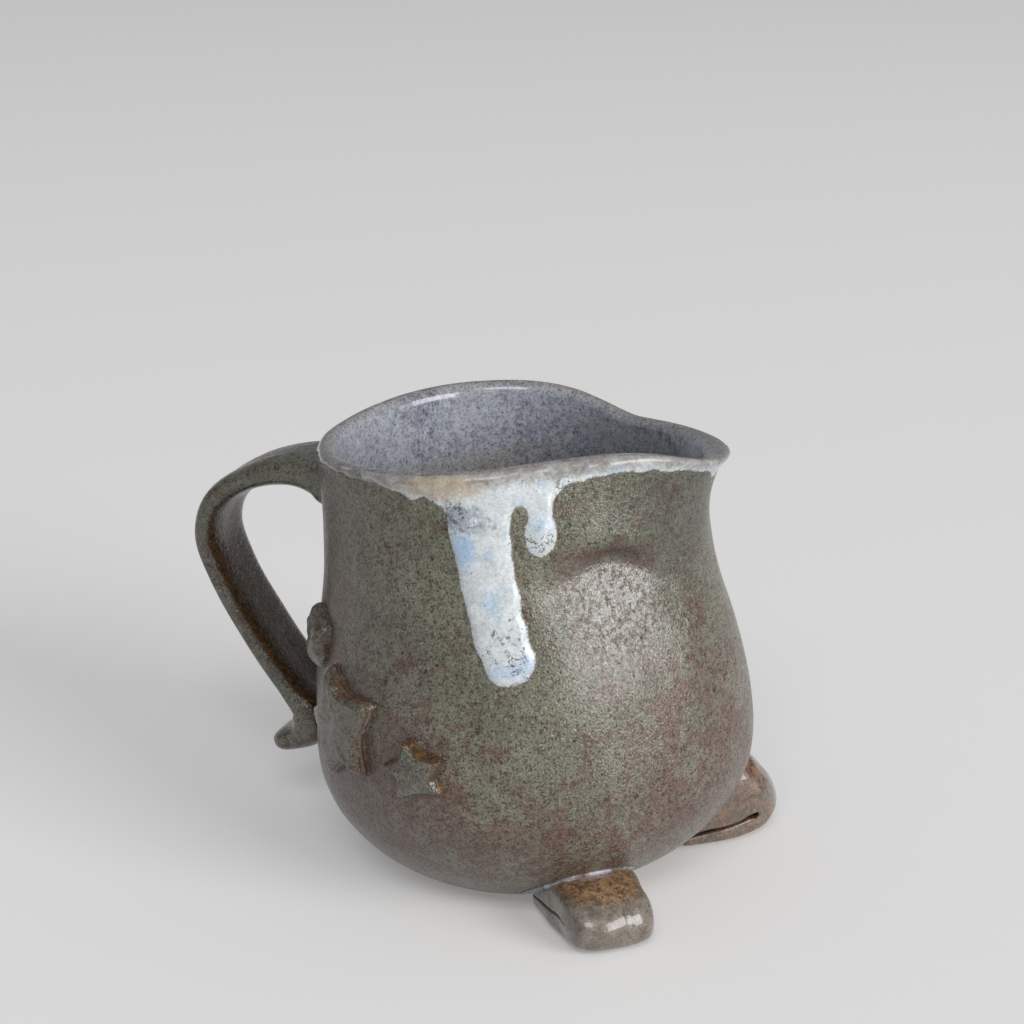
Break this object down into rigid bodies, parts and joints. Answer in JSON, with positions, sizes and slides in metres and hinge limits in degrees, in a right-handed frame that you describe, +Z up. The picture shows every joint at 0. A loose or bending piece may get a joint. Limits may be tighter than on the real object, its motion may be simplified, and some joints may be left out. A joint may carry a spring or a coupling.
{
  "type": "milk jug",
  "caption": "Small hand-thrown stoneware milk jug with a round belly, pulled spout, strap handle, folded clay feet, star sprigs and a pale glaze run; it holds and pours milk.",
  "frame": {"origin": "middle of the jug's bounding footprint, on the table it stands on", "axes": "+X from the handle towards the spout, +Z up, -Y the side with the stars and the glaze run"},
  "size_m": [0.1308, 0.1, 0.1024],
  "materials": {
    "glazed_clay": "semi-gloss olive grey stoneware glaze with reddish brown mottling and iron specks",
    "amber_glaze": "glossy amber brown glaze",
    "pale_glaze": "glossy pale blue-grey glaze"
  },
  "bodies": {
    "root": {"thrown_body": "glazed_clay", "liner_glaze": "pale_glaze", "glaze_overflow": "pale_glaze", "pulled_handle": "glazed_clay", "front_star": "amber_glaze", "large_star": "amber_glaze", "rear_star": "amber_glaze", "right_foot": "amber_glaze", "left_foot": "amber_glaze"}
  },
  "joints": []
}
